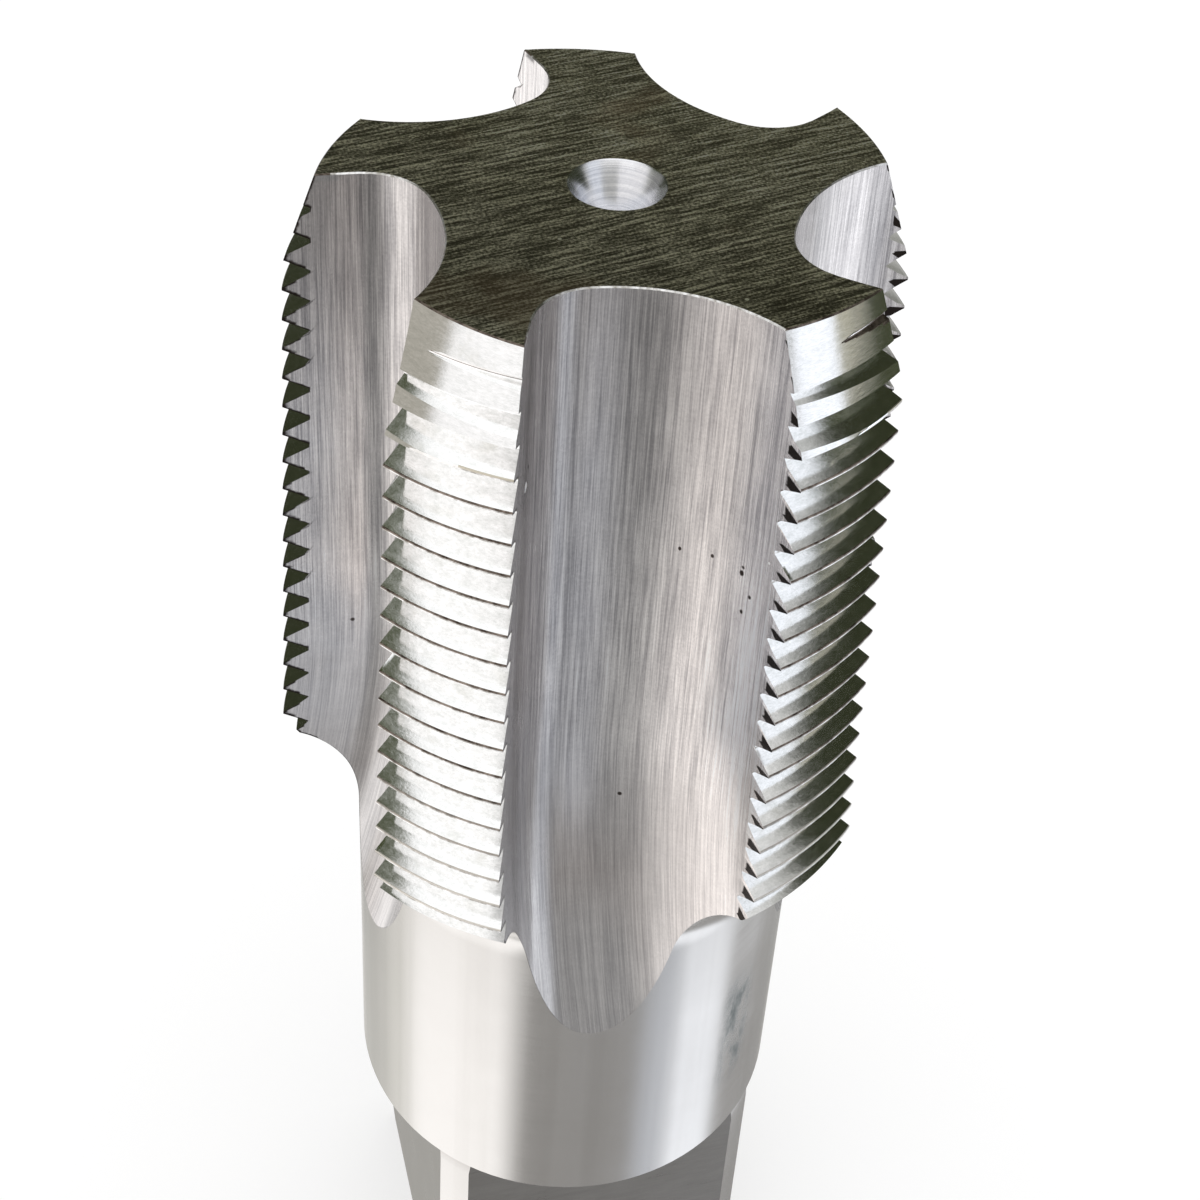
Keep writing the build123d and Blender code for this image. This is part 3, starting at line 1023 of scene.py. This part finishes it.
def finishes():
    """The finish of each kind of surface, in the order of their numbers."""
    turned = line_maker((60.0, 60.0, 9000.0))
    bored = line_maker((60.0, 60.0, 5200.0))
    brushed = line_maker((210.0, 3600.0, 1.0), brush_angle)
    mottled = line_maker((1400.0, 1400.0, 5200.0))
    milled = line_maker((300.0, 300.0, 2600.0))
    plain = line_maker((900.0, 900.0, 900.0))
    # The end face's dark tone is painted dark reflection; its light lines are the grinding
    end_tones_painted_dark = (rgb(80, 78, 70), rgb(232, 229, 217))
    hole_tones = (rgb(200, 202, 208), rgb(250, 250, 252))
    thread_tones = (rgb(234, 235, 234), grey(1.0))
    flute_tones = (rgb(166, 164, 165), rgb(243, 240, 238))
    shank_tones = (rgb(219, 217, 214), rgb(227, 225, 222))
    square_tones = (rgb(152, 149, 145), rgb(172, 169, 164))
    burr_tones = (rgb(170, 167, 160), grey(1.0))
    # Painted shade, dark brown, for the crests, the lands' rims and the first groove's floor
    painted_shade_tones = (rgb(64, 54, 48), rgb(150, 138, 128))
    return [
        steel("end_face", end_tones_painted_dark, brushed, 0.32, 0.004, across_brush, end_stains_and_painted_sheen, 1.5, 0.2, 1.1, 2.0),
        steel("centre_hole", hole_tones, bored, 0.24, 0.006),
        steel("thread", thread_tones, mottled, 0.13, 0.0042, None, thread_marks, 1.4, 0.1),
        steel("flute", flute_tones, flute_lines, 0.24, 0.002, across_grain, flute_flaws_and_painted_light, 1.35, 0.15),
        steel("shank", shank_tones, turned, 0.20, 0.0002, None, shank_marks, 0.4, 0.1),
        steel("square", square_tones, milled, 0.30, 0.0006, contrast=0.6),
        steel("burr", burr_tones, plain, 0.35, 0.002, contrast=2.0),
        # The crest material is painted shade
        steel("crest", painted_shade_tones, plain, 0.35, 0.002, marks=painted_shade_marks, contrast=1.6),
    ]


def new_object(name, data):
    made = bpy.data.objects.new(name, data)
    bpy.context.scene.collection.objects.link(made)
    return made


def tap():
    """The whole tap as one piece, which stands for the part's plain solid."""
    shell = Shell()
    rim, ring = body(shell)
    end_face(shell, rim)
    shank(shell, ring)
    piece = new_object("pipe_tap", shell.mesh("pipe_tap", finishes()))
    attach(piece, "root")
    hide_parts("tap")


def photo_camera():
    """The camera where the photograph was taken, worked out from the tap's own edges in it."""
    data = bpy.data.cameras.new("photo_camera")
    data.sensor_width = 36
    data.lens = 62.914
    data.shift_x = -0.0324
    data.shift_y = -0.2069
    data.clip_start = 0.005
    camera = new_object("photo_camera", data)
    camera.location = np.array([-33.257, -107.621, 171.362]) * MM
    camera.rotation_euler = np.radians([54.898, -3.547, -15.759])
    bpy.context.scene.camera = camera


def card(n, over, side, height, level, tint, side_soft, height_soft):
    """A card round the tap: where it stands, by angles from the camera's side, and how it shines."""
    seen = []
    for angle, (low, high), soft in ((n.wrapped, side, side_soft), (n.height, height, height_soft)):
        middle, half = (low + high) / 2, (high - low) / 2
        away = n.math("SUBTRACT", angle, middle)
        if angle is n.wrapped:
            away = n.math("WRAP", away, 180.0, -180.0)
        seen.append(n.ease(n.math("ABSOLUTE", away), half + soft, half - soft))
    shine = tuple(level * v for v in tint) + (1.0,)
    return n.blend(n.product(*seen), over, shine)


def ceiling_light(n, over, direction):
    """A wide soft light overhead, with straight edges that fade as in ceiling_edges."""
    height = n.split(direction)[2]
    factor = n.ease(height, 0.0, 0.05)
    for side, edges in zip((camera_side, camera_side + 90), ceiling_edges):
        place = n.math("DIVIDE", n.reach(direction, side), height)
        for dark, bright in edges:
            factor = n.product(factor, n.ease(place, dark, bright))
    return n.blend(factor, over, grey(ceiling_level))


def surround(n):
    """What the steel reflects: a ceiling light, and pale and dark cards round the tap."""
    direction = n.node("TexCoord").outputs["Generated"]
    x, y, z = n.split(direction)
    n.wrapped = n.math("SUBTRACT", n.math("DEGREES", n.math("ARCTAN2", y, x)), camera_side)
    n.height = n.math("DEGREES", n.math("ARCSINE", z))
    colour = (0.50, 0.50, 0.48, 1.0)
    for side, height, level, tint, side_soft, height_soft in cards:
        colour = card(n, colour, side, height, level, tint, side_soft, height_soft)
    return ceiling_light(n, colour, direction)


def studio():
    """White for the eye and for plain surfaces, and the surround for the steel."""
    world, n = with_nodes(bpy.data.worlds.new("studio"))
    path = n.node("LightPath").outputs
    seen = n.blend(path["Is Glossy Ray"], grey(1.0), surround(n))
    n.feed(n.node("OutputWorld").inputs[0], n.node("Background", seen, 1.0).outputs[0])
    world.cycles.sampling_method = "NONE"
    bpy.context.scene.world = world
    bpy.context.scene.view_settings.view_transform = "Standard"
    floor_plane()


def floor_plane():
    """A plain white floor that keeps the tap's shadow."""
    material, n = with_nodes(bpy.data.materials.new("floor"))
    lift = n.product(n.node("LightPath").outputs["Is Camera Ray"], floor_lift)
    glow = n.node("Emission", grey(1.0), lift).outputs[0]
    matt = n.node("BsdfDiffuse", grey(floor_colour)).outputs[0]
    n.feed(n.node("OutputMaterial").inputs[0], n.node("AddShader", glow, matt).outputs[0])
    mesh = bpy.data.meshes.new("floor")
    corners = [(x * floor_size, y * floor_size, 0) for x, y in ((-1, -1), (1, -1), (1, 1), (-1, 1))]
    mesh.from_pydata(corners, [], [range(4)])
    mesh.materials.append(material)
    floor = new_object("floor", mesh)
    floor.visible_glossy = False


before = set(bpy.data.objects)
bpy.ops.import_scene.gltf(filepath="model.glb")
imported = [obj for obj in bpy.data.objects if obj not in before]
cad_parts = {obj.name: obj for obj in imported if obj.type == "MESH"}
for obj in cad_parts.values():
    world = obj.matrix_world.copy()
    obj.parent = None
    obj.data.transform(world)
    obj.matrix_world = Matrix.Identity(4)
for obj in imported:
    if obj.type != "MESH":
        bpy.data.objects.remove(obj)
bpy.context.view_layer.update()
tap()
photo_camera()
studio()
